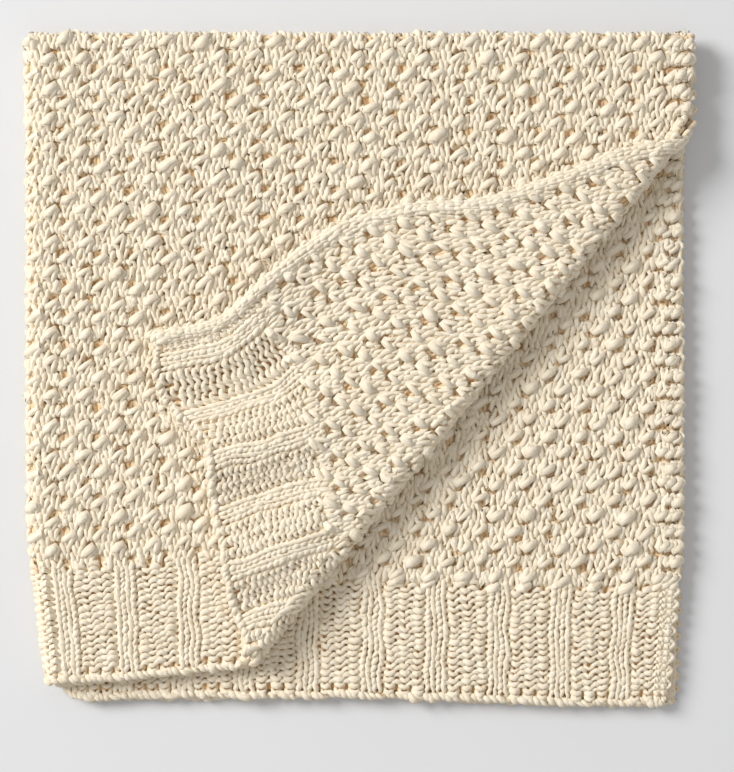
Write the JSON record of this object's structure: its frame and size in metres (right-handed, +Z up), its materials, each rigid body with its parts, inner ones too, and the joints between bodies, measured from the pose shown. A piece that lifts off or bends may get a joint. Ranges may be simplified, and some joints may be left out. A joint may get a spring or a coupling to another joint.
{
  "type": "folded throw blanket",
  "caption": "Chunky knitted throw with ribbed borders, folded in four; the folded leaf opens like a book and its turned-back corner unfolds.",
  "frame": {"origin": "on the underside, under the middle of the bounding box", "axes": "+Z up through the four layers, +X from the left fold to the open side edges, +Y from the ribbed hems to the far fold"},
  "size_m": [0.646, 0.656, 0.0445],
  "materials": {
    "field_knit": "matte cotton slub yarn, open textured knitting",
    "rib_knit": "matte cotton slub yarn, ribbed knitting",
    "edge_yarn": "matte cotton slub yarn, cast-off chain and edge stitches"
  },
  "bodies": {
    "lower_leaf": {"bottom_layer_field": "field_knit", "bottom_layer_rib_border": "rib_knit", "bottom_layer_cast_off_edge": "edge_yarn", "bottom_layer_side_edge": "edge_yarn", "second_layer_field": "field_knit", "second_layer_rib_border": "rib_knit", "second_layer_cast_off_edge": "edge_yarn", "second_layer_side_edge": "edge_yarn", "lower_leaf_far_fold": "field_knit", "left_fold_outer_lower_half": "field_knit", "left_fold_inner_lower_half": "field_knit"},
    "upper_leaf": {"third_layer_field": "field_knit", "third_layer_rib_border": "rib_knit", "third_layer_cast_off_edge": "edge_yarn", "third_layer_side_edge": "edge_yarn", "top_layer_field": "field_knit", "top_layer_rib_border": "rib_knit", "top_layer_cast_off_edge": "edge_yarn", "top_layer_side_edge": "edge_yarn", "upper_leaf_far_fold": "field_knit", "left_fold_outer_upper_half": "field_knit", "left_fold_inner_upper_half": "field_knit", "corner_bend_outer_lower_half": "field_knit", "corner_bend_inner_lower_half": "field_knit"},
    "turned_corner": {"corner_under_layer_field": "field_knit", "corner_under_layer_rib_border": "rib_knit", "corner_under_layer_cast_off_edge": "edge_yarn", "corner_under_layer_side_edge": "edge_yarn", "corner_face_layer_field": "field_knit", "corner_face_layer_rib_border": "rib_knit", "corner_face_layer_cast_off_edge": "edge_yarn", "corner_face_layer_side_edge": "edge_yarn", "corner_bend_outer_upper_half": "field_knit", "corner_bend_inner_upper_half": "field_knit"}
  },
  "joints": [
    {"name": "book_fold", "type": "hinge", "parent": "lower_leaf", "child": "upper_leaf", "pos_m": [-0.3233, 0, 0.01475], "axis": [0, -1, 0], "range_deg": [0, 170]},
    {"name": "corner_fold", "type": "hinge", "parent": "upper_leaf", "child": "turned_corner", "pos_m": [0.10973, -0.03119, 0.02975], "axis": [0.6332, 0.774, 0], "range_deg": [0, 172]}
  ]
}
